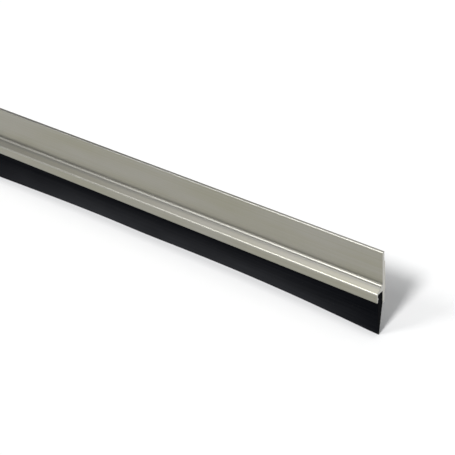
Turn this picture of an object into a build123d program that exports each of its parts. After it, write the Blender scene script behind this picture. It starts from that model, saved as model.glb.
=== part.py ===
from build123d import *

import os

# Self-adhesive draught strip for the foot of a door, millimetres.
# X runs along the strip, +Y points into the door and +Z is up.
# The origin is the centre of the back face that goes against the door.

# Driving dimensions. Reaches and widths are measured out from the plate, falls downwards
# and rises upwards.
strip_length = 914.0

# Carrier: a flat plate, which is the leaf above the bead and the channel's rear wall below
plate_thickness = 1.4
leaf_height = 15.9

# Carrier: the bead at the foot of the leaf and the shoulder that slopes from it to the nose
bead_reach = 1.05
bead_depth = 1.0
nose_fall = 2.8

# Carrier: the channel under the shoulder, the lip that closes its front and the rear wall
# that runs on below the lip
channel_roof_fall = 3.1
channel_width = 3.45
channel_depth = 4.0
lip_thickness = 0.7
wall_overhang = 2.0

# Carrier: the barb inside the lip that bites into the blade, from its foot up
barb_foot_rise = 1.2
barb_slope_rise = 0.7
barb_shelf_rise = 0.35
barb_reach = 0.65

# Carrier: corner radii
leaf_front_radius = 0.5
plate_edge_radius = 0.2
bead_root_radius = 0.2
bead_radius = 0.8
shoulder_root_radius = 0.2
nose_radius = 1.0
lip_edge_radius = 0.25
channel_corner_radius = 0.4
barb_radius = 0.12

# Blade: a root held in the channel and a wiper that tapers on its rear face
root_clearance = 0.05
wiper_drop = 14.7
wiper_tip_thickness = 0.5
wiper_tip_radius = 0.2

# Adhesive tape and its release liner
tape_width = 15.0
tape_thickness = 0.3
liner_thickness = 0.1

# Places down the section, from the leaf's top edge
bead_foot_down = leaf_height + bead_depth
nose_down = leaf_height + nose_fall
channel_roof_down = leaf_height + channel_roof_fall
lip_foot_down = channel_roof_down + channel_depth
barb_foot_down = lip_foot_down - barb_foot_rise
barb_tip_down = barb_foot_down - barb_slope_rise
barb_shelf_down = barb_tip_down - barb_shelf_rise
plate_height = lip_foot_down + wall_overhang
wiper_tip_down = plate_height + wiper_drop

# Places out from the back of the plate
bead_out = plate_thickness + bead_reach
channel_out = plate_thickness + channel_width
nose_out = channel_out + lip_thickness
barb_tip_out = channel_out - barb_reach
blade_back_out = plate_thickness + root_clearance
blade_front_out = channel_out - root_clearance
plate_back = -(liner_thickness + tape_thickness)

# The section plane: its first direction is out from the plate's back, its second is down
section = Plane(
    origin=(-strip_length / 2, plate_back, plate_height / 2),
    x_dir=(0, -1, 0),
    z_dir=(1, 0, 0),
)
# The planes of the tape and of its liner, centred on the back of the plate
tape_plane = Plane(origin=(0, plate_back, 0), x_dir=(1, 0, 0), z_dir=(0, 1, 0))
liner_plane = tape_plane.offset(tape_thickness)

# The plate, shoulder and lip as one outline, with the channel still filled
body_corners = [
    ((0, 0), plate_edge_radius),
    ((plate_thickness, 0), leaf_front_radius),
    ((plate_thickness, leaf_height), bead_root_radius),
    ((bead_out, leaf_height), bead_radius),
    ((bead_out, bead_foot_down), shoulder_root_radius),
    ((nose_out, nose_down), nose_radius),
    ((nose_out, lip_foot_down), 0),
    ((plate_thickness, lip_foot_down), 0),
    ((plate_thickness, plate_height), plate_edge_radius),
    ((0, plate_height), plate_edge_radius),
]

# The space between the plate and the lip, open at the foot, with the barb standing in it
channel_corners = [
    ((plate_thickness, channel_roof_down), channel_corner_radius),
    ((channel_out, channel_roof_down), channel_corner_radius),
    ((channel_out, barb_shelf_down), barb_radius),
    ((barb_tip_out, barb_tip_down), barb_radius),
    ((channel_out, barb_foot_down), barb_radius),
    ((channel_out, plate_height), 0),
    ((plate_thickness, plate_height), 0),
]

# The part of the blade below the lip: flat in front, tapering behind from the plate's foot
wiper_corners = [
    ((blade_back_out, lip_foot_down), 0),
    ((blade_front_out, lip_foot_down), 0),
    ((blade_front_out, wiper_tip_down), wiper_tip_radius),
    ((blade_front_out - wiper_tip_thickness, wiper_tip_down), wiper_tip_radius),
    ((blade_back_out, plate_height), 0),
]


def rounded_outline(corners):
    """Draw a closed outline through (point, radius) pairs."""
    FilletPolyline(
        [point for point, radius in corners],
        radius=[radius for point, radius in corners],
        close=True,
    )


os.makedirs("parts", exist_ok=True)

# Carrier: one aluminium extrusion
with BuildPart() as carrier:
    with BuildSketch(section):
        with BuildLine():
            rounded_outline(body_corners)
        make_face()
        with BuildLine():
            rounded_outline(channel_corners)
        make_face(mode=Mode.SUBTRACT)
        lip_foot = vertices().filter_by_position(Axis.Y, lip_foot_down, lip_foot_down)
        fillet(lip_foot, radius=lip_edge_radius)
    extrude(amount=strip_length)

carrier.part.label = "carrier"
export_step(carrier.part, "parts/carrier.step")

# Blade: one rubber extrusion. Its root is the channel's space less a clearance all round,
# so that it has a groove where the barb stands, and the wiper hangs below.
with BuildPart() as blade:
    with BuildSketch(section):
        with BuildLine():
            rounded_outline(channel_corners)
        make_face()
        offset(amount=-root_clearance)
        with BuildLine():
            rounded_outline(wiper_corners)
        make_face()
    extrude(amount=strip_length)

blade.part.label = "blade"
export_step(blade.part, "parts/blade.step")

# Adhesive tape: a band of double-sided tape along the middle of the plate's back
with BuildPart() as adhesive_tape:
    with BuildSketch(tape_plane):
        Rectangle(strip_length, tape_width)
    extrude(amount=tape_thickness)

adhesive_tape.part.label = "adhesive_tape"
export_step(adhesive_tape.part, "parts/adhesive_tape.step")

# Release liner: the paper that covers the tape until the strip is fixed
with BuildPart() as release_liner:
    with BuildSketch(liner_plane):
        Rectangle(strip_length, tape_width)
    extrude(amount=liner_thickness)

release_liner.part.label = "release_liner"
export_step(release_liner.part, "parts/release_liner.step")
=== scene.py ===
"""Looks of a self-adhesive door draught strip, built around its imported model.

The frame is in metres: X runs along the strip, +Y points into the door and +Z is up. Section
sizes are in millimetres, measured out from the back of the metal plate and down from its top
edge, and places along the strip are measured from the end that the photograph shows.
"""

import logging
import math
from collections.abc import Callable
from dataclasses import dataclass, replace
from enum import Enum
from functools import cached_property

import bmesh
import bpy
from mathutils import Matrix, Vector


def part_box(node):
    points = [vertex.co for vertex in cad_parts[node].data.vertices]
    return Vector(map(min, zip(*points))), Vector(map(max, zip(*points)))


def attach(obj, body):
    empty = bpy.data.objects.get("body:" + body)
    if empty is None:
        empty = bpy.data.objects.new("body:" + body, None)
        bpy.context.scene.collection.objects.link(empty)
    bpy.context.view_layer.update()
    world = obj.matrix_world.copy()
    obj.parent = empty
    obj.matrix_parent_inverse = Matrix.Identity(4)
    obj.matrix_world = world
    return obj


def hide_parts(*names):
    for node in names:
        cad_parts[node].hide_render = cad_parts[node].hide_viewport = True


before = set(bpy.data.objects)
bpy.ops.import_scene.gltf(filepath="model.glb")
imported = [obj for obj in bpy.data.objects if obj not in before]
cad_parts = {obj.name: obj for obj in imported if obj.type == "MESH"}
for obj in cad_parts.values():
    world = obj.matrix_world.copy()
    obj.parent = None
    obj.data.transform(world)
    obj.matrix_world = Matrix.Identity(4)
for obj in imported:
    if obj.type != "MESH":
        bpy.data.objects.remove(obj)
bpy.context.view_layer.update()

MM = 0.001
BODY = "root"

# The widest turn between two facets of a rounded corner, and its fewest facets
FACET_DEG = 9.0
FACETS_MIN = 3
# Edges that turn by less than this are shaded smooth
SMOOTH_DEG = 30.0
# The short flats beside an arc, which keep its shading to itself, in millimetres
HOLD_MM = 0.02
# How far the painted shade of an inner corner reaches along a flat, in millimetres
NOOK_REACH_MM = 1.3

# The kinds of node that most finishes use, with their settings
MATH = "ShaderNodeMath"
ADD = {"operation": "ADD"}
MULTIPLY = {"operation": "MULTIPLY"}
POWER = {"operation": "POWER"}
MAXIMUM = {"operation": "MAXIMUM"}
MIX = "ShaderNodeMix"
COLOURS = {"data_type": "RGBA"}
RANGE = "ShaderNodeMapRange"
# The wave texture turns by this many radians over one unit at a scale of 1
WAVE_RADIANS = 20.0
METAL = 1.0
# A pattern's size comes from its mapping alone
NOISE_SCALE = 1.0

Material = bpy.types.Material
Node = bpy.types.Node
Piece = bpy.types.Object
Socket = bpy.types.NodeSocket
Tree = bpy.types.NodeTree
Colour = tuple[float, float, float, float]
Size = tuple[float, float, float]
Pair = tuple[float, float]

WHITE: Colour = (1.0, 1.0, 1.0, 1.0)


class Layers(Enum):
    """How many finer layers a pattern has over its main features."""

    FEW = 1.0
    SOME = 2.0
    MANY = 3.0


@dataclass(frozen=True)
class Ramp:
    """How a value runs from low to high while another one goes from start to end."""

    low: float
    high: float
    # Most of a noise's values lie between these two
    start: float = 0.3
    end: float = 0.7

    def over(self, value: Socket | Node) -> dict:
        """Give a range node's inputs for a ramp over this value."""
        places = {"From Min": self.start, "From Max": self.end}
        return {"Value": value, **places, "To Min": self.low, "To Max": self.high}


def linear_colour(code: str) -> Colour:
    """Turn an sRGB hex colour into a linear one.

    Args:
        code: The colour as "#RRGGBB".

    Returns:
        Linear red, green and blue, and an alpha of 1.
    """
    channels = [int(code[i : i + 2], 16) / 255 for i in (1, 3, 5)]
    linear = [c / 12.92 if c <= 0.04045 else ((c + 0.055) / 1.055) ** 2.4 for c in channels]
    return (linear[0], linear[1], linear[2], 1.0)


def per_metre(size_mm: float) -> float:
    """Give a texture scale at which one unit of the pattern is as long as this size."""
    return 1 / (size_mm * MM)


def add_node(tree: Tree, kind: str, settings: dict, inputs: dict) -> Node:
    """Add a node with its settings, its values and its links.

    Args:
        tree: The node tree that the node goes into.
        kind: The node's Blender type.
        settings: Properties of the node by name.
        inputs: For each input's identifier a value, or the socket or node that is linked to it.
            A node is linked from the first of its outputs that is in use.

    Returns:
        The new node.
    """
    node = tree.nodes.new(kind)
    for name, value in settings.items():
        setattr(node, name, value)
    sockets = {socket.identifier: socket for socket in node.inputs}
    for name, value in inputs.items():
        if isinstance(value, Node):
            value = next(output for output in value.outputs if output.enabled)
        if isinstance(value, Socket):
            tree.links.new(value, sockets[name])
        else:
            sockets[name].default_value = value
    return node


def new_material(name: str) -> tuple[Material, Tree]:
    """Make a material with nothing in its node tree.

    Args:
        name: The material's name.

    Returns:
        The material and its empty node tree.
    """
    material = bpy.data.materials.new(name)
    material.use_nodes = True
    material.node_tree.nodes.clear()
    return material, material.node_tree


def pattern(tree: Tree, size_mm: Size, layers: Layers) -> Socket:
    """Lay an uneven pattern over a piece, at its real size.

    Args:
        tree: The material's node tree.
        size_mm: The size of a feature along X, Y and Z, in millimetres.
        layers: How many finer layers the pattern has.

    Returns:
        The pattern's value, around a half.
    """
    place = add_node(tree, "ShaderNodeTexCoord", {}, {})
    stretch = add_node(tree, "ShaderNodeMapping", {}, {
        "Vector": place.outputs["Object"], "Scale": tuple(per_metre(size) for size in size_mm),
    })
    noise = add_node(
        tree, "ShaderNodeTexNoise", {}, {"Vector": stretch, "Scale": NOISE_SCALE, "Detail": layers.value}
    )
    return noise.outputs["Fac"]


def finish_surface(tree: Tree, shader: dict, height: Socket, relief_mm: float) -> None:
    """Close a material's tree with a bump, the shader and the output.

    Args:
        tree: The material's node tree.
        shader: The shader's inputs by identifier.
        height: The height of the surface's fine relief, from 0 to 1.
        relief_mm: How high a height of 1 stands.
    """
    bump = add_node(tree, "ShaderNodeBump", {}, {"Height": height, "Distance": relief_mm * MM})
    surface = add_node(tree, "ShaderNodeBsdfPrincipled", {}, {**shader, "Normal": bump})
    add_node(tree, "ShaderNodeOutputMaterial", {}, {"Surface": surface})


@dataclass(frozen=True)
class AnodisedAluminium:
    """Extruded aluminium, etched and clear anodised.

    To the eye it is an even, slightly warm satin grey. Faint lines that the die drew run along
    it and the etch leaves soft clouds. Inner corners are darkened with painted shade, and rounded
    edges are rubbed a little smoother and painted brighter, partly as wear and partly as a
    painted highlight.
    """

    name: str = "anodised_aluminium_extruded"
    colour: str = "#98968E"
    cloud_colour: str = "#929082"
    # Brighter colour on rounded edges: partly rubbed wear, partly a painted highlight
    rub_sheen_colour: str = "#A6A59D"
    # Painted shade for the inner corners
    nook_shade_colour: str = "#7D7C76"
    # How much of the cloud colour the clouds and the lines bring
    cloud_tint: Ramp = Ramp(0.0, 0.7)
    line_tint: Ramp = Ramp(-0.15, 0.45)
    # The roughness across the lines, and what the grain and a rubbed edge add to it
    roughness: Ramp = Ramp(0.29, 0.33)
    grain_roughness: Ramp = Ramp(-0.005, 0.005)
    rubbed_roughness: float = -0.03
    # Die lines stand about 0.1 mm apart, too fine to show, and are drawn 0.5 mm apart
    die_line_mm: Size = (260.0, 0.5, 0.5)
    cloud_mm: Size = (45.0, 9.0, 9.0)
    # The etch's pits are under 0.1 mm wide, too fine to show, and are drawn 0.35 mm wide
    grain_mm: Size = (0.35, 0.35, 0.35)
    # How high the grain stands beside the lines
    grain_relief: float = 0.2
    relief_mm: float = 0.004

    def colouring(self, tree: Tree, lines: Socket, rub_and_sheen: Socket) -> Node:
        """Colour the metal: clouds and lines, painted shade in the corners, and rubbed edges with a
        painted highlight.

        Args:
            tree: The material's node tree.
            lines: The pattern of the die lines.
            rub_and_sheen: How far a place is rubbed, and how much painted highlight it gets.

        Returns:
            The node that gives the colour.
        """
        clouds = pattern(tree, self.cloud_mm, Layers.SOME)
        cloudy = add_node(tree, RANGE, {}, self.cloud_tint.over(clouds))
        lined = add_node(tree, RANGE, {}, self.line_tint.over(lines))
        tint = add_node(tree, MATH, ADD, {"Value": cloudy, "Value_001": lined})
        tones = {"A_Color": linear_colour(self.colour), "B_Color": linear_colour(self.cloud_colour)}
        flat = add_node(tree, MIX, COLOURS, {"Factor_Float": tint, **tones})
        nook = add_node(tree, "ShaderNodeAttribute", {"attribute_name": "nook"}, {}).outputs["Fac"]
        # Inner corners are darkened with painted shade
        nook_shaded = add_node(tree, MIX, COLOURS, {
            "Factor_Float": nook, "A_Color": flat, "B_Color": linear_colour(self.nook_shade_colour),
        })
        # Rounded edges are brighter, partly as rubbed wear and partly as a painted highlight
        return add_node(tree, MIX, COLOURS, {
            "Factor_Float": rub_and_sheen, "A_Color": nook_shaded, "B_Color": linear_colour(self.rub_sheen_colour),
        })

    def material(self) -> Material:
        """Build the material.

        Returns:
            The material, which reads the mesh's "rub" and "nook" attributes.
        """
        material, tree = new_material(self.name)
        lines = pattern(tree, self.die_line_mm, Layers.MANY)
        grain = pattern(tree, self.grain_mm, Layers.FEW)
        rub_and_sheen = add_node(tree, "ShaderNodeAttribute", {"attribute_name": "rub_and_sheen"}, {}).outputs["Fac"]
        drawn = add_node(tree, RANGE, {}, self.roughness.over(lines))
        etched = add_node(tree, RANGE, {}, self.grain_roughness.over(grain))
        worn = add_node(tree, MATH, MULTIPLY, {"Value": rub_and_sheen, "Value_001": self.rubbed_roughness})
        satin = add_node(tree, MATH, ADD, {"Value": drawn, "Value_001": etched})
        pits = add_node(tree, MATH, MULTIPLY, {"Value": grain, "Value_001": self.grain_relief})
        relief = add_node(tree, MATH, ADD, {"Value": lines, "Value_001": pits})
        shader = {
            "Base Color": self.colouring(tree, lines, rub_and_sheen),
            "Metallic": METAL,
            "Roughness": add_node(tree, MATH, ADD, {"Value": satin, "Value_001": worn}),
        }
        finish_surface(tree, shader, relief.outputs["Value"], self.relief_mm)
        return material


@dataclass(frozen=True)
class SawnAluminium:
    """Aluminium as the saw leaves it, bare and without the anodised skin.

    To the eye it is brighter and less even than the skin, with shallow arcs from the blade.
    """

    name: str = "aluminium_saw_cut"
    colour: str = "#C4C3BD"
    dull_colour: str = "#A3A29C"
    roughness: Ramp = Ramp(0.41, 0.54)
    # Tooth marks are drawn 0.45 mm apart, about twice as coarse as they are
    arc_mm: float = 0.45
    arc_radius_mm: float = 90.0
    arc_waver: float = 1.5
    grain_mm: Size = (0.25, 0.25, 0.25)
    relief_mm: float = 0.01

    def material(self) -> Material:
        """Build the material.

        Returns:
            The material.
        """
        material, tree = new_material(self.name)
        place = add_node(tree, "ShaderNodeTexCoord", {}, {})
        centred = add_node(tree, "ShaderNodeMapping", {}, {
            "Vector": place.outputs["Object"], "Location": (0.0, self.arc_radius_mm * MM, 0.0),
        })
        arcs = add_node(tree, "ShaderNodeTexWave", {"wave_type": "RINGS", "rings_direction": "X"}, {
            "Vector": centred,
            "Scale": per_metre(self.arc_mm) * 2 * math.pi / WAVE_RADIANS,
            "Distortion": self.arc_waver,
            "Detail": Layers.SOME.value,
        })
        grain = pattern(tree, self.grain_mm, Layers.SOME)
        uneven = add_node(
            tree, MATH, MULTIPLY, {"Value": arcs.outputs["Fac"], "Value_001": grain}
        ).outputs["Value"]
        tones = {"A_Color": linear_colour(self.colour), "B_Color": linear_colour(self.dull_colour)}
        shader = {
            "Base Color": add_node(tree, MIX, COLOURS, {"Factor_Float": uneven, **tones}),
            "Metallic": METAL,
            "Roughness": add_node(tree, RANGE, {}, self.roughness.over(grain)),
        }
        finish_surface(tree, shader, uneven, self.relief_mm)
        return material


@dataclass(frozen=True)
class ExtrudedRubber:
    """Black EPDM rubber as the extruder leaves it.

    To the eye it is matt and nearly black with a blue cast. A painted reflection of the floor
    turns it a lighter grey where it bends, towards its free edge; fine lines run along it, and a
    little dust sits on it.
    """

    name: str = "epdm_rubber_extruded"
    colour: str = "#030407"
    # The lighter grey of the painted floor reflection
    floor_sheen_colour: str = "#2A2B2E"
    dust_colour: str = "#33322F"
    # How much of the painted floor reflection a full bend brings, and what the lines add to it
    floor_sheen_share: Ramp = Ramp(0.6, 1.1)
    line_tint: Ramp = Ramp(-0.08, 0.08)
    roughness: Ramp = Ramp(0.56, 0.68)
    specular: float = 0.018
    # The real lines and grain are finer than these, too fine to show
    line_mm: Size = (120.0, 0.7, 0.7)
    floor_sheen_mm: Size = (32.0, 16.0, 16.0)
    grain_mm: Size = (0.4, 0.4, 0.4)
    # The distance between two specks of dust, and how a speck thickens from its rim inwards
    dust_mm: float = 3.5
    speck: Ramp = Ramp(0.0, 0.6, start=0.06, end=0.03)
    relief_mm: float = 0.012

    def skin(self, tree: Tree, lines: Socket) -> Node:
        """Colour the rubber, with a painted reflection of the floor where it is bent.

        Args:
            tree: The material's node tree.
            lines: The pattern of the lines that run along it.

        Returns:
            The node that gives the colour.
        """
        clouds = pattern(tree, self.floor_sheen_mm, Layers.MANY)
        bent = add_node(tree, "ShaderNodeAttribute", {"attribute_name": "bent"}, {}).outputs["Fac"]
        uneven = add_node(tree, RANGE, {}, self.floor_sheen_share.over(clouds))
        lined = add_node(tree, RANGE, {}, self.line_tint.over(lines))
        # The painted reflection grows with the bend, which is largest at the free edge
        floor_sheen = add_node(tree, MATH, MULTIPLY, {"Value": bent, "Value_001": uneven})
        tint = add_node(tree, MATH, ADD, {"Value": floor_sheen, "Value_001": lined})
        tones = {"A_Color": linear_colour(self.colour), "B_Color": linear_colour(self.floor_sheen_colour)}
        return add_node(tree, MIX, COLOURS, {"Factor_Float": tint, **tones})

    def dust(self, tree: Tree) -> Node:
        """Scatter specks of dust.

        Args:
            tree: The material's node tree.

        Returns:
            The node that gives how much dust there is.
        """
        place = add_node(tree, "ShaderNodeTexCoord", {}, {})
        scatter = {"Vector": place.outputs["Object"], "Scale": per_metre(self.dust_mm)}
        specks = add_node(tree, "ShaderNodeTexVoronoi", {}, scatter)
        return add_node(tree, RANGE, {}, self.speck.over(specks))

    def material(self) -> Material:
        """Build the material.

        Returns:
            The material, which reads the mesh's "bent" attribute, about 1 where it bends most.
        """
        material, tree = new_material(self.name)
        lines = pattern(tree, self.line_mm, Layers.SOME)
        grain = pattern(tree, self.grain_mm, Layers.SOME)
        relief = add_node(tree, MATH, ADD, {"Value": lines, "Value_001": grain})
        shader = {
            "Base Color": add_node(tree, MIX, COLOURS, {
                "Factor_Float": self.dust(tree),
                "A_Color": self.skin(tree, lines),
                "B_Color": linear_colour(self.dust_colour),
            }),
            "Roughness": add_node(tree, RANGE, {}, self.roughness.over(grain)),
            "Specular IOR Level": self.specular,
        }
        finish_surface(tree, shader, relief.outputs["Value"], self.relief_mm)
        return material


@dataclass(frozen=True)
class TackyTape:
    """White film coated with acrylic adhesive on both faces and slit into tape.

    To the eye it is milky white with a wet, slightly rippled sheen where the glue is thicker.
    """

    name: str = "acrylic_adhesive_coated"
    colour: str = "#DEDBD2"
    thick_colour: str = "#C9C4B4"
    thick_share: Ramp = Ramp(0.0, 0.8)
    roughness: Ramp = Ramp(0.29, 0.42)
    ripple_mm: Size = (7.0, 1.6, 1.6)
    grain_mm: Size = (0.3, 0.3, 0.3)
    relief_mm: float = 0.015

    def material(self) -> Material:
        """Build the material.

        Returns:
            The material.
        """
        material, tree = new_material(self.name)
        ripples = pattern(tree, self.ripple_mm, Layers.SOME)
        grain = pattern(tree, self.grain_mm, Layers.SOME)
        thick = add_node(tree, RANGE, {}, self.thick_share.over(ripples))
        tones = {"A_Color": linear_colour(self.colour), "B_Color": linear_colour(self.thick_colour)}
        shader = {
            "Base Color": add_node(tree, MIX, COLOURS, {"Factor_Float": thick, **tones}),
            "Roughness": add_node(tree, RANGE, {}, self.roughness.over(grain)),
        }
        finish_surface(tree, shader, ripples, self.relief_mm)
        return material


@dataclass(frozen=True)
class SiliconisedPaper:
    """Bleached kraft paper with a silicone skin, calendered.

    To the eye it is a warm off-white with a low sheen, faint fibres and slow cockles.
    """

    name: str = "kraft_paper_siliconised"
    colour: str = "#F2EFE5"
    fibre_colour: str = "#E2DCCB"
    # How much of the fibre colour the fibres and the clouds bring
    fibre_tint: Ramp = Ramp(0.0, 0.5)
    cloud_tint: Ramp = Ramp(0.0, 0.4)
    roughness: Ramp = Ramp(0.40, 0.54)
    coat: float = 0.15
    coat_roughness: float = 0.3
    # Fibres are about 0.03 mm wide, too fine to show, and are drawn 0.5 mm wide
    fibre_mm: Size = (4.0, 0.5, 0.5)
    cloud_mm: Size = (6.0, 6.0, 6.0)
    relief_mm: float = 0.006

    def material(self) -> Material:
        """Build the material.

        Returns:
            The material.
        """
        material, tree = new_material(self.name)
        fibres = pattern(tree, self.fibre_mm, Layers.MANY)
        clouds = pattern(tree, self.cloud_mm, Layers.MANY)
        fibrous = add_node(tree, RANGE, {}, self.fibre_tint.over(fibres))
        cloudy = add_node(tree, RANGE, {}, self.cloud_tint.over(clouds))
        tint = add_node(tree, MATH, ADD, {"Value": fibrous, "Value_001": cloudy})
        tones = {"A_Color": linear_colour(self.colour), "B_Color": linear_colour(self.fibre_colour)}
        shader = {
            "Base Color": add_node(tree, MIX, COLOURS, {"Factor_Float": tint, **tones}),
            "Roughness": add_node(tree, RANGE, {}, self.roughness.over(clouds)),
            "Coat Weight": self.coat,
            "Coat Roughness": self.coat_roughness,
        }
        finish_surface(tree, shader, fibres, self.relief_mm)
        return material


class Turn(Enum):
    """Which way a section's corner turns."""

    OUTSIDE = 1
    INSIDE = -1


@dataclass(frozen=True)
class Corner:
    """A corner of a section, in millimetres, with the radius that rounds it."""

    out: float
    down: float
    radius: float


@dataclass(frozen=True)
class SectionPoint:
    """A point on a section's outline, in millimetres, with how far it is rubbed and painted bright, and
    how far it is painted with corner shade.
    """

    out: float
    down: float
    rub_and_sheen: float = 0.0
    nook: float = 0.0


Outline = list[SectionPoint]
Bend = Callable[[float, SectionPoint], Pair]


def unit(out: float, down: float) -> Pair:
    """Give a direction in the section the length 1."""
    length = math.hypot(out, down)
    return out / length, down / length


def turning(outline: list[Corner] | Outline) -> float:
    """Give twice the area of a closed outline, with the sign of the way round it goes."""
    pairs = zip(outline, outline[1:] + outline[:1])
    return sum(a.out * b.down - b.out * a.down for a, b in pairs)


def round_corner(before: Corner, corner: Corner, after: Corner, turn: Turn, hold: float) -> Outline:
    """Round one corner with an arc and a short flat before and after it.

    Args:
        before: The corner before it.
        corner: The corner that is rounded.
        after: The corner after it.
        turn: Whether the corner stands out of the section or goes into it.
        hold: The length of the two short flats, in millimetres.

    Returns:
        The points of the corner, in order.
    """
    to_before = unit(before.out - corner.out, before.down - corner.down)
    to_after = unit(after.out - corner.out, after.down - corner.down)
    dot = to_before[0] * to_after[0] + to_before[1] * to_after[1]
    opening = math.acos(max(-1.0, min(1.0, dot)))
    reach = corner.radius / math.tan(opening / 2)
    middle = unit(to_before[0] + to_after[0], to_before[1] + to_after[1])
    distance = corner.radius / math.sin(opening / 2)
    centre = (corner.out + middle[0] * distance, corner.down + middle[1] * distance)
    sweep = math.pi - opening
    count = max(FACETS_MIN, math.ceil(sweep / math.radians(FACET_DEG)))
    start = (
        corner.out + to_before[0] * reach - centre[0],
        corner.down + to_before[1] * reach - centre[1],
    )
    cross = to_before[0] * to_after[1] - to_before[1] * to_after[0]
    way = -1 if cross > 0 else 1
    # An inner corner gets painted shade, and no painted highlight
    nook = 1.0 if turn is Turn.INSIDE else 0.0
    ends = [
        (corner.out + side[0] * (reach + hold), corner.down + side[1] * (reach + hold))
        for side in (to_before, to_after)
    ]
    first, last = (SectionPoint(out, down, nook=nook) for out, down in ends)
    points = [first]
    for i in range(count + 1):
        angle = way * sweep * i / count
        cosine, sine = math.cos(angle), math.sin(angle)
        # An outer arc is rubbed smoother and given a painted highlight, most at its middle
        rub_and_sheen = math.sin(math.pi * i / count) * (1 - nook)
        out = centre[0] + start[0] * cosine - start[1] * sine
        down = centre[1] + start[0] * sine + start[1] * cosine
        points.append(SectionPoint(out, down, rub_and_sheen, nook))
    points.append(last)
    return points


def rounded_outline(corners: list[Corner], longest: float, hold: float = HOLD_MM) -> Outline:
    """Round every corner of a closed section and divide its long flats.

    Args:
        corners: The section's corners, in order.
        longest: The longest distance between two points, in millimetres.
        hold: The length of the short flats that keep each arc's shading to itself.

    Returns:
        The outline's points, in order.
    """
    area = turning(corners)
    points: Outline = []
    for i, corner in enumerate(corners):
        before, after = corners[i - 1], corners[(i + 1) % len(corners)]
        cross = (corner.out - before.out) * (after.down - corner.down)
        cross -= (corner.down - before.down) * (after.out - corner.out)
        turn = Turn.OUTSIDE if cross * area > 0 else Turn.INSIDE
        points += round_corner(before, corner, after, turn, hold)
    divided: Outline = []
    for a, b in zip(points, points[1:] + points[:1]):
        length = math.dist((a.out, a.down), (b.out, b.down))
        parts = max(1, math.ceil(length / longest))
        for part in range(parts):
            share = part / parts
            # The painted shade of an inner corner fades out along the flats beside it
            nook_a = a.nook * (1 - share * length / NOOK_REACH_MM)
            nook_b = b.nook * (1 - (1 - share) * length / NOOK_REACH_MM)
            out, down = a.out + (b.out - a.out) * share, a.down + (b.down - a.down) * share
            rub_and_sheen = a.rub_and_sheen + (b.rub_and_sheen - a.rub_and_sheen) * share
            divided.append(SectionPoint(out, down, rub_and_sheen, max(0.0, nook_a, nook_b)))
    return divided


def inset(outline: Outline, amount: float) -> Outline:
    """Draw an outline in by a small amount, as a deburred end is.

    Args:
        outline: The outline.
        amount: How far each point moves into the section, in millimetres.

    Returns:
        The smaller outline, with as many points.
    """
    inward = math.copysign(amount, turning(outline))
    smaller: Outline = []
    for i, point in enumerate(outline):
        before, after = outline[i - 1], outline[(i + 1) % len(outline)]
        way = unit(after.out - before.out, after.down - before.down)
        smaller.append(replace(point, out=point.out - way[1] * inward, down=point.down + way[0] * inward))
    return smaller


def stay_straight(along: float, point: SectionPoint) -> Pair:
    """Leave a point of the section where it is."""
    return 0.0, 0.0


@dataclass(frozen=True)
class StripFrame:
    """The strip's place in the frame: its two ends, the back of the plate and its top edge."""

    near_end: float
    far_end: float
    plate_back: float
    plate_top: float
    # A bend of this many millimetres shows the rubber's painted floor reflection in full, and a
    # smaller one more than its share
    full_bend: float = 3.0
    bend_power: float = 0.7

    @classmethod
    def from_cad(cls) -> "StripFrame":
        """Read the places from the carrier's box."""
        low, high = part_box("carrier")
        return cls(high.x, low.x, high.y, high.z)

    @property
    def length(self) -> float:
        """The strip's length in millimetres."""
        return (self.near_end - self.far_end) / MM

    def place(self, along: float, out: float, down: float) -> Vector:
        """Turn a place along, out and down in millimetres into a point of the frame."""
        across, height = self.plate_back - out * MM, self.plate_top - down * MM
        return Vector((self.near_end - along * MM, across, height))

    def down_of(self, z: float) -> float:
        """Turn a height in the frame into millimetres down from the plate's top edge."""
        return (self.plate_top - z) / MM

    def out_of(self, y: float) -> float:
        """Turn a place across the frame into millimetres out from the plate's back."""
        return (self.plate_back - y) / MM

    def sweep(
        self, name: str, outline: Outline, step: float, chamfer: float, bend: Bend = stay_straight
    ) -> Piece:
        """Sweep a section along the whole strip and close its ends.

        Args:
            name: The piece's name.
            outline: The section.
            step: The distance between two rings, in millimetres.
            chamfer: The size of the chamfer round each end, in millimetres.
            bend: How far out and down a point of the section moves at a place along the strip.

        Returns:
            The piece, with its sides in material slot 0 and its two ends in slot 1.
        """
        small = inset(outline, chamfer)
        count = math.ceil((self.length - 2 * chamfer) / step)
        gap = (self.length - 2 * chamfer) / count
        rings = [(0.0, small)]
        rings += [(chamfer + i * gap, outline) for i in range(count + 1)]
        rings.append((self.length, small))
        mesh = bmesh.new()
        rub_and_sheen = mesh.verts.layers.float.new("rub_and_sheen")
        nook = mesh.verts.layers.float.new("nook")
        bent = mesh.verts.layers.float.new("bent")
        columns = []
        for along, ring in rings:
            column = []
            for point in ring:
                out, down = bend(along, point)
                vertex = mesh.verts.new(self.place(along, point.out + out, point.down + down))
                vertex[rub_and_sheen] = point.rub_and_sheen
                vertex[nook] = point.nook
                vertex[bent] = (abs(out) / self.full_bend) ** self.bend_power
                column.append(vertex)
            columns.append(column)
        for near, far in zip(columns, columns[1:]):
            for i, vertex in enumerate(near):
                j = (i + 1) % len(near)
                mesh.faces.new((vertex, near[j], far[j], far[i])).smooth = True
        for column in (columns[0], columns[-1]):
            mesh.faces.new(column).material_index = 1
        bmesh.ops.recalc_face_normals(mesh, faces=mesh.faces)
        data = bpy.data.meshes.new(name)
        mesh.to_mesh(data)
        mesh.free()
        data.set_sharp_from_angle(angle=math.radians(SMOOTH_DEG))
        piece = bpy.data.objects.new(name, data)
        bpy.context.scene.collection.objects.link(piece)
        return piece


def dress(piece: Piece, skin: Material, cut: Material) -> None:
    """Give a swept piece its materials and its body.

    Args:
        piece: The piece.
        skin: The material of its sides.
        cut: The material of its two ends.
    """
    piece.data.materials.append(skin)
    piece.data.materials.append(cut)
    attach(piece, BODY)


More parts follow.
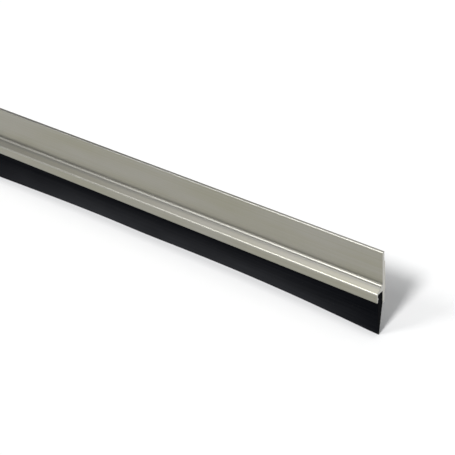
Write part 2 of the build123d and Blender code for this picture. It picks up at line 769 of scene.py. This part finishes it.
@dataclass
class CarrierRail:
    """The metal rail: a leaf, a bead, a sloping shoulder and a lip that closes the blade's channel."""

    strip: StripFrame
    plate_thickness: float = 1.4
    leaf_height: float = 15.9
    bead_reach: float = 1.05
    bead_depth: float = 1.0
    nose_fall: float = 2.8
    channel_roof_fall: float = 3.1
    channel_width: float = 3.45
    channel_depth: float = 4.0
    barb_foot_rise: float = 1.2
    barb_slope_rise: float = 0.7
    barb_shelf_rise: float = 0.35
    barb_reach: float = 0.65
    leaf_front_radius: float = 0.5
    plate_edge_radius: float = 0.2
    bead_root_radius: float = 0.2
    bead_radius: float = 0.8
    shoulder_root_radius: float = 0.2
    nose_radius: float = 1.0
    lip_edge_radius: float = 0.25
    channel_corner_radius: float = 0.4
    barb_radius: float = 0.12
    point_step: float = 0.65
    ring_step: float = 10.0
    end_chamfer: float = 0.06

    @cached_property
    def plate_height(self) -> float:
        """The height of the metal, from the frame."""
        return self.strip.down_of(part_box("carrier")[0].z)

    @cached_property
    def nose_out(self) -> float:
        """How far the nose stands out, from the frame."""
        return self.strip.out_of(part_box("carrier")[0].y)

    @property
    def roof_down(self) -> float:
        """The channel's roof."""
        return self.leaf_height + self.channel_roof_fall

    @property
    def lip_foot_down(self) -> float:
        """The foot of the lip."""
        return self.roof_down + self.channel_depth

    @property
    def channel_out(self) -> float:
        """The inner face of the lip."""
        return self.plate_thickness + self.channel_width

    def channel_corners(self) -> list[Corner]:
        """Place the corners of the channel, which the blade's root follows.

        Returns:
            The corners, from the barb's foot, over the roof, to the rear wall.
        """
        barb_foot = self.lip_foot_down - self.barb_foot_rise
        barb_tip = barb_foot - self.barb_slope_rise
        barb_shelf = barb_tip - self.barb_shelf_rise
        return [
            Corner(self.channel_out, barb_foot, self.barb_radius),
            Corner(self.channel_out - self.barb_reach, barb_tip, self.barb_radius),
            Corner(self.channel_out, barb_shelf, self.barb_radius),
            Corner(self.channel_out, self.roof_down, self.channel_corner_radius),
            Corner(self.plate_thickness, self.roof_down, self.channel_corner_radius),
        ]

    def outline(self) -> Outline:
        """Draw the rail's section.

        Returns:
            The outline, from the plate's top edge down its front, through the channel and back
            up behind.
        """
        thick, edge = self.plate_thickness, self.plate_edge_radius
        bead_out = thick + self.bead_reach
        corners = [
            Corner(0, 0, edge),
            Corner(thick, 0, self.leaf_front_radius),
            Corner(thick, self.leaf_height, self.bead_root_radius),
            Corner(bead_out, self.leaf_height, self.bead_radius),
            Corner(bead_out, self.leaf_height + self.bead_depth, self.shoulder_root_radius),
            Corner(self.nose_out, self.leaf_height + self.nose_fall, self.nose_radius),
            Corner(self.nose_out, self.lip_foot_down, self.lip_edge_radius),
            Corner(self.channel_out, self.lip_foot_down, self.lip_edge_radius),
            *self.channel_corners(),
            Corner(thick, self.plate_height, edge),
            Corner(0, self.plate_height, edge),
        ]
        return rounded_outline(corners, self.point_step)

    def build(self, skin: AnodisedAluminium, cut: SawnAluminium) -> Piece:
        """Build the rail and dress it.

        Args:
            skin: The finish of its sides.
            cut: The finish of its ends.

        Returns:
            The rail.
        """
        rail = self.strip.sweep("carrier_rail", self.outline(), self.ring_step, self.end_chamfer)
        dress(rail, skin.material(), cut.material())
        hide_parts("carrier")
        return rail


@dataclass
class WiperBlade:
    """The rubber blade: a root that fills the rail's channel and a wiper that tapers behind."""

    strip: StripFrame
    rail: CarrierRail
    root_clearance: float = 0.05
    root_radius: float = 0.35
    # The groove for the rail's barb: its two edges and its bottom, which lies a share of the
    # clearance above the barb's tip
    groove_edge_radius: float = 0.09
    groove_radius: float = 0.17
    groove_rise_share: float = 0.4
    tip_thickness: float = 0.5
    tip_radius: float = 0.2
    joint_radius: float = 0.5
    # The blade bends from this far below the lip
    bend_below_lip: float = 0.5
    point_step: float = 1.0
    ring_step: float = 4.0
    end_chamfer: float = 0.08
    # How far the free edge leans back: (millimetres along the strip, millimetres back)
    leans: tuple[Pair, ...] = (
        (-30, 0.1), (0, 0.2), (20, 1.3), (45, 2.5), (75, 3.15), (105, 3.1),
        (130, 2.75), (160, 2.85), (185, 2.45), (205, 1.9), (235, 1.0), (290, 0.6),
        (370, 1.6), (450, 2.3), (540, 1.2), (630, 0.6), (720, 1.9), (800, 2.5),
        (870, 1.3), (914, 0.4), (950, 0.3),
    )

    @cached_property
    def tip_down(self) -> float:
        """The blade's free edge, from the frame."""
        return self.strip.down_of(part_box("blade")[0].z)

    def lean_at(self, along: float) -> float:
        """Give how far the free edge leans back at a place along the strip.

        Args:
            along: The place, in millimetres.

        Returns:
            The lean in millimetres, on a smooth curve through the leans given.
        """
        last = len(self.leans) - 3
        i = next((k for k in range(1, last) if self.leans[k + 1][0] > along), last)
        (x0, y0), (x1, y1), (x2, y2), (x3, y3) = self.leans[i - 1 : i + 3]
        share = (along - x1) / (x2 - x1)
        slope1 = (y2 - y0) / (x2 - x0) * (x2 - x1)
        slope2 = (y3 - y1) / (x3 - x1) * (x2 - x1)
        square, cube = share**2, share**3
        start = (2 * cube - 3 * square + 1) * y1 + (cube - 2 * square + share) * slope1
        return start + (3 * square - 2 * cube) * y2 + (cube - square) * slope2

    def bend(self, along: float, point: SectionPoint) -> Pair:
        """Bend the wiper back as a strip of rubber held at its top does.

        Args:
            along: The place along the strip, in millimetres.
            point: A point of the section.

        Returns:
            How far the point moves out and down, in millimetres.
        """
        held = self.rail.lip_foot_down + self.bend_below_lip
        free = self.tip_down - held
        share = max(0.0, (point.down - held) / free)
        back = self.lean_at(along) * (3 * share**2 - share**3) / 2
        return -back, -(back**2) / (2 * free)

    def outline(self) -> Outline:
        """Draw the blade's section, which has a groove where the rail's barb stands.

        Returns:
            The outline.
        """
        rail, gap = self.rail, self.root_clearance
        foot, tip, shelf, roof_front, roof_back = rail.channel_corners()
        front, back = rail.channel_out - gap, rail.plate_thickness + gap
        groove_down = tip.down - gap * self.groove_rise_share
        corners = [
            Corner(back, roof_back.down + gap, self.root_radius),
            Corner(front, roof_front.down + gap, self.root_radius),
            Corner(front, shelf.down - gap, self.groove_edge_radius),
            Corner(tip.out - gap, groove_down, self.groove_radius),
            Corner(front, foot.down + gap, self.groove_edge_radius),
            Corner(front, self.tip_down, self.tip_radius),
            Corner(front - self.tip_thickness, self.tip_down, self.tip_radius),
            Corner(back, rail.plate_height, self.joint_radius),
        ]
        return rounded_outline(corners, self.point_step)

    def build(self, rubber: ExtrudedRubber) -> Piece:
        """Build the blade and dress it.

        Args:
            rubber: The finish of its sides and its cut ends.

        Returns:
            The blade.
        """
        blade = self.strip.sweep(
            "wiper_blade", self.outline(), self.ring_step, self.end_chamfer, self.bend
        )
        material = rubber.material()
        dress(blade, material, material)
        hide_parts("blade")
        return blade


@dataclass
class BackingBand:
    """A band along the back of the plate: the adhesive tape, or the paper liner on it."""

    strip: StripFrame
    node: str
    edge_radius: float
    end_chamfer: float
    # How far the slit edges wander in, and over which length
    edge_sway: float
    sway_length: float
    # How much faster the second of their two waves is, and how far ahead it starts, in radians
    second_wave: float = 2.7
    second_start: float = 1.0
    # The short flats beside an edge's arc, as a share of its radius
    hold_share: float = 0.2
    point_step: float = 1.5
    ring_step: float = 5.0

    @cached_property
    def edges(self) -> Pair:
        """The band's top and bottom edge, from the frame."""
        low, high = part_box(self.node)
        return self.strip.down_of(high.z), self.strip.down_of(low.z)

    def sway(self, along: float, point: SectionPoint) -> Pair:
        """Let the slit edges wander in a little.

        Args:
            along: The place along the strip, in millimetres.
            point: A point of the section.

        Returns:
            How far the point moves out and down, in millimetres.
        """
        top, foot = self.edges
        side = (2 * point.down - top - foot) / (foot - top)
        turn = 2 * math.pi * along / self.sway_length + side
        waves = math.sin(turn) + math.sin(self.second_wave * turn + self.second_start)
        # The two waves together run from -2 to 2
        wander = (2 + waves) / 4
        return 0.0, -side * self.edge_sway * wander

    def build(self, finish: TackyTape | SiliconisedPaper, name: str, slot: str) -> Piece:
        """Build the band and dress it.

        Args:
            finish: The band's finish.
            name: The piece's name.
            slot: The record's material slot; not used.

        Returns:
            The band.
        """
        low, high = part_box(self.node)
        near, far = self.strip.out_of(low.y), self.strip.out_of(high.y)
        top, foot = self.edges
        places = ((far, top), (near, top), (near, foot), (far, foot))
        corners = [Corner(out, down, self.edge_radius) for out, down in places]
        outline = rounded_outline(corners, self.point_step, self.edge_radius * self.hold_share)
        band = self.strip.sweep(name, outline, self.ring_step, self.end_chamfer, self.sway)
        material = finish.material()
        dress(band, material, material)
        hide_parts(self.node)
        return band


def seen_ray(tree: Tree) -> Node:
    """Tell the rays that see the background from those that only light it.

    Args:
        tree: The node tree.

    Returns:
        A node that gives 1 for camera, glossy and transmission rays, and 0 for the others.
    """
    path = add_node(tree, "ShaderNodeLightPath", {}, {}).outputs
    direct = add_node(
        tree, MATH, MAXIMUM, {"Value": path["Is Camera Ray"], "Value_001": path["Is Glossy Ray"]}
    )
    return add_node(tree, MATH, MAXIMUM, {"Value": direct, "Value_001": path["Is Transmission Ray"]})


@dataclass(frozen=True)
class SeamlessPaper:
    """White background paper, rolled out flat.

    To the eye it is evenly white and matt. It keeps a soft grey shadow, and a narrow soft shade
    where something stands on it.
    """

    name: str = "background_paper_matt"
    colour: str = "#F8F8F8"
    contact_colour: str = "#DDDDDE"
    # The shade's reach, and how it clears as a place gets more open to the sky
    contact_mm: float = 5.8
    contact_sky: Ramp = Ramp(0.0, 1.0, start=0.5, end=1.0)
    contact_samples: int = 16
    # What the paper gives off, so that it is seen as white
    lift: float = 0.095

    def material(self) -> Material:
        """Build the material, lifted to white for the camera and for reflections.

        Returns:
            The material.
        """
        material, tree = new_material(self.name)
        reach = {"Distance": self.contact_mm * MM}
        samples = {"samples": self.contact_samples}
        sky = add_node(tree, "ShaderNodeAmbientOcclusion", samples, reach).outputs["AO"]
        openness = add_node(tree, RANGE, {}, self.contact_sky.over(sky))
        white = linear_colour(self.colour)
        tones = {"A_Color": linear_colour(self.contact_colour), "B_Color": white}
        shade = add_node(tree, MIX, COLOURS, {"Factor_Float": openness, **tones})
        lift = add_node(tree, MATH, MULTIPLY, {"Value": seen_ray(tree), "Value_001": self.lift})
        paper = add_node(tree, "ShaderNodeBsdfDiffuse", {}, {"Color": shade})
        glow = add_node(tree, "ShaderNodeEmission", {}, {"Color": white, "Strength": lift})
        both = add_node(tree, "ShaderNodeAddShader", {}, {"Shader": paper, "Shader_001": glow})
        add_node(tree, "ShaderNodeOutputMaterial", {}, {"Surface": both})
        return material


@dataclass(frozen=True)
class SoftLamp:
    """A distant soft lamp, by the direction it stands in as seen from the strip."""

    name: str
    towards: tuple[float, float, float]
    spread_deg: float
    strength: float

    def build(self) -> Piece:
        """Hang the lamp.

        Returns:
            The lamp.
        """
        light = bpy.data.lights.new(self.name, "SUN")
        light.energy = self.strength
        light.angle = math.radians(self.spread_deg)
        lamp = bpy.data.objects.new(self.name, light)
        lamp.rotation_mode = "QUATERNION"
        lamp.rotation_quaternion = Vector(self.towards).to_track_quat("Z", "Y")
        bpy.context.scene.collection.objects.link(lamp)
        return lamp


@dataclass(frozen=True)
class SoftRoom:
    """The room all round: a white horizon, grey walls and a ceiling with a soft bright field.

    A place in the room is told by the direction it is seen in: its parts along X, Y and Z.
    """

    name: str = "studio_world"
    ambient: float = 0.30
    ambient_colour: str = "#FBFDFF"
    # The ceiling's bright field: how it fades in along X, on a curve, and its brightness
    field: Ramp = Ramp(0.0, 1.0, start=-0.70, end=-0.36)
    field_curve: float = 1.5
    field_brightness: float = 2.93
    ceiling_brightness: float = 0.17
    # Over the near end all of it is dimmer, by a share, and over the far end it is brighter
    near_share: Ramp = Ramp(1.0, 0.35, start=-0.26, end=0.0)
    far_glow: Ramp = Ramp(0.0, 0.6, start=-0.80, end=-0.95)
    # The walls' share of the ceiling's brightness, from the front one to the back one along Y
    wall_share: Ramp = Ramp(0.62, 0.35, start=-0.2, end=0.2)
    # Where along Z the horizon gives way to the walls, and the walls to the ceiling
    horizon: Ramp = Ramp(0.0, 1.0, start=0.1, end=0.35)
    wall_top: Ramp = Ramp(0.0, 1.0, start=0.58, end=0.8)
    # How much more blue than red the walls and the ceiling show
    blue_share: float = 1.05

    def ceiling(self, tree: Tree, along: Socket) -> Node:
        """Give the ceiling's brightness.

        Args:
            tree: The world's node tree.
            along: The direction's part along X.

        Returns:
            The node that gives the brightness.
        """
        fade = add_node(tree, RANGE, {}, self.field.over(along))
        soft = add_node(tree, MATH, POWER, {"Value": fade, "Value_001": self.field_curve})
        rise = self.field_brightness - self.ceiling_brightness
        glow = add_node(tree, MATH, MULTIPLY, {"Value": soft, "Value_001": rise})
        field = add_node(tree, MATH, ADD, {"Value": glow, "Value_001": self.ceiling_brightness})
        near = add_node(tree, RANGE, {}, self.near_share.over(along))
        far = add_node(tree, RANGE, {}, self.far_glow.over(along))
        dimmed = add_node(tree, MATH, MULTIPLY, {"Value": field, "Value_001": near})
        return add_node(tree, MATH, ADD, {"Value": dimmed, "Value_001": far})

    def build(self) -> None:
        """Light the scene evenly, and show the room to the camera and to reflections."""
        world = bpy.data.worlds.new(self.name)
        world.use_nodes = True
        tree = world.node_tree
        tree.nodes.clear()
        place = add_node(tree, "ShaderNodeTexCoord", {}, {}).outputs["Generated"]
        axes = add_node(tree, "ShaderNodeSeparateXYZ", {}, {"Vector": place}).outputs
        wall = add_node(tree, RANGE, {}, self.wall_share.over(axes["Y"]))
        share = add_node(tree, RANGE, {}, {**self.wall_top.over(axes["Z"]), "To Min": wall})
        ceiling = self.ceiling(tree, axes["X"])
        level = add_node(tree, MATH, MULTIPLY, {"Value": ceiling, "Value_001": share})
        blue = add_node(tree, MATH, MULTIPLY, {"Value": level, "Value_001": self.blue_share})
        tones = {"Red": level, "Green": level, "Blue": blue}
        grey = add_node(tree, "ShaderNodeCombineColor", {}, tones)
        raised = add_node(tree, RANGE, {}, self.horizon.over(axes["Z"]))
        mixed = {"Factor_Float": raised, "A_Color": WHITE, "B_Color": grey}
        backdrop = add_node(tree, MIX, COLOURS, mixed)
        shown = add_node(tree, "ShaderNodeBackground", {}, {"Color": backdrop})
        sky = linear_colour(self.ambient_colour)
        soft = add_node(tree, "ShaderNodeBackground", {}, {"Color": sky, "Strength": self.ambient})
        choice = {"Fac": seen_ray(tree), "Shader": soft, "Shader_001": shown}
        light = add_node(tree, "ShaderNodeMixShader", {}, choice)
        add_node(tree, "ShaderNodeOutputWorld", {}, {"Surface": light})
        bpy.context.scene.world = world


@dataclass
class Studio:
    """The pale floor, the room and the lamps."""

    # The floor's side in metres, and its gap under the blade in millimetres
    floor_size: float = 60.0
    floor_gap_mm: float = 0.05
    paper: SeamlessPaper = SeamlessPaper()
    room: SoftRoom = SoftRoom()
    key: SoftLamp = SoftLamp("key_lamp", (0.09, -0.71, 0.71), spread_deg=12.0, strength=2.47)
    rim: SoftLamp = SoftLamp("rim_lamp", (-0.41, -0.55, 0.70), spread_deg=16.0, strength=0.67)

    def build_floor(self) -> Piece:
        """Lay the floor just under the blade's free edge.

        Returns:
            The floor.
        """
        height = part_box("blade")[0].z - self.floor_gap_mm * MM
        half = self.floor_size / 2
        sides = ((-half, -half), (half, -half), (half, half), (-half, half))
        data = bpy.data.meshes.new("studio_floor")
        data.from_pydata([(x, y, height) for x, y in sides], [], [range(len(sides))])
        floor = bpy.data.objects.new("studio_floor", data)
        floor.data.materials.append(self.paper.material())
        bpy.context.scene.collection.objects.link(floor)
        return floor

    def build(self) -> None:
        """Lay the floor, light the room and hang the lamps."""
        self.build_floor()
        self.room.build()
        self.key.build()
        self.rim.build()


@dataclass
class PhotographCamera:
    """The camera at the photograph's place, which is given by one corner of the strip.

    Pixels are counted from the centre of the first one, in an image of 455 x 455.
    """

    strip: StripFrame
    image_px: int = 455
    focal_px: float = 1377.2
    azimuth_deg: float = 40.81
    elevation_deg: float = 34.02
    roll_deg: float = -4.44
    corner_distance: float = 554.1
    corner_px: Pair = (384.0, 250.58)
    sensor_mm: float = 36.0

    def axes(self) -> tuple[Vector, Vector, Vector]:
        """Work out the camera's own axes.

        Returns:
            The directions to its right, up and forward.
        """
        azimuth, elevation = math.radians(self.azimuth_deg), math.radians(self.elevation_deg)
        roll = math.radians(self.roll_deg)
        flat = math.cos(elevation)
        forward = Vector((-math.sin(azimuth) * flat, math.cos(azimuth) * flat, -math.sin(elevation)))
        level = Vector((math.cos(azimuth), math.sin(azimuth), 0.0))
        upright = level.cross(forward)
        right = level * math.cos(roll) + upright * math.sin(roll)
        up = upright * math.cos(roll) - level * math.sin(roll)
        return right, up, forward

    def build(self) -> Piece:
        """Set the camera so that the plate's near top corner falls on its pixel.

        Returns:
            The camera.
        """
        right, up, forward = self.axes()
        centre = (self.image_px - 1) / 2
        across, below = self.corner_px[0] - centre, self.corner_px[1] - centre
        sight = (right * across - up * below + forward * self.focal_px).normalized()
        place = self.strip.place(0, 0, 0) - sight * (self.corner_distance * MM)
        data = bpy.data.cameras.new("photograph_camera")
        data.sensor_width = self.sensor_mm
        data.lens = self.focal_px / self.image_px * self.sensor_mm
        camera = bpy.data.objects.new("photograph_camera", data)
        turn = Matrix((right, up, -forward)).transposed().to_4x4()
        camera.matrix_world = Matrix.Translation(place) @ turn
        bpy.context.scene.collection.objects.link(camera)
        bpy.context.scene.camera = camera
        return camera


def report(piece: Piece) -> None:
    """Log a piece's name, faces and size."""
    size = " x ".join(f"{length / MM:.2f}" for length in piece.dimensions)
    logging.info("%s: %d faces, %s mm", piece.name, len(piece.data.polygons), size)


def main() -> None:
    """Build the pieces in order, then the studio and the camera."""
    logging.basicConfig(level=logging.INFO, format="%(message)s")
    bpy.context.scene.view_settings.view_transform = "Standard"
    strip = StripFrame.from_cad()
    rail = CarrierRail(strip)
    report(rail.build(AnodisedAluminium(), SawnAluminium()))
    report(WiperBlade(strip, rail).build(ExtrudedRubber()))
    tape = BackingBand(
        strip, "adhesive_tape", edge_radius=0.08, end_chamfer=0.05, edge_sway=0.12, sway_length=70.0
    )
    report(tape.build(TackyTape(), "double_sided_tape", "mounting_tape"))
    liner = BackingBand(
        strip, "release_liner", edge_radius=0.025, end_chamfer=0.02, edge_sway=0.06, sway_length=110.0
    )
    report(liner.build(SiliconisedPaper(), "paper_liner", "release_paper"))
    Studio().build()
    PhotographCamera(strip).build()


if __name__ == "__main__":
    main()
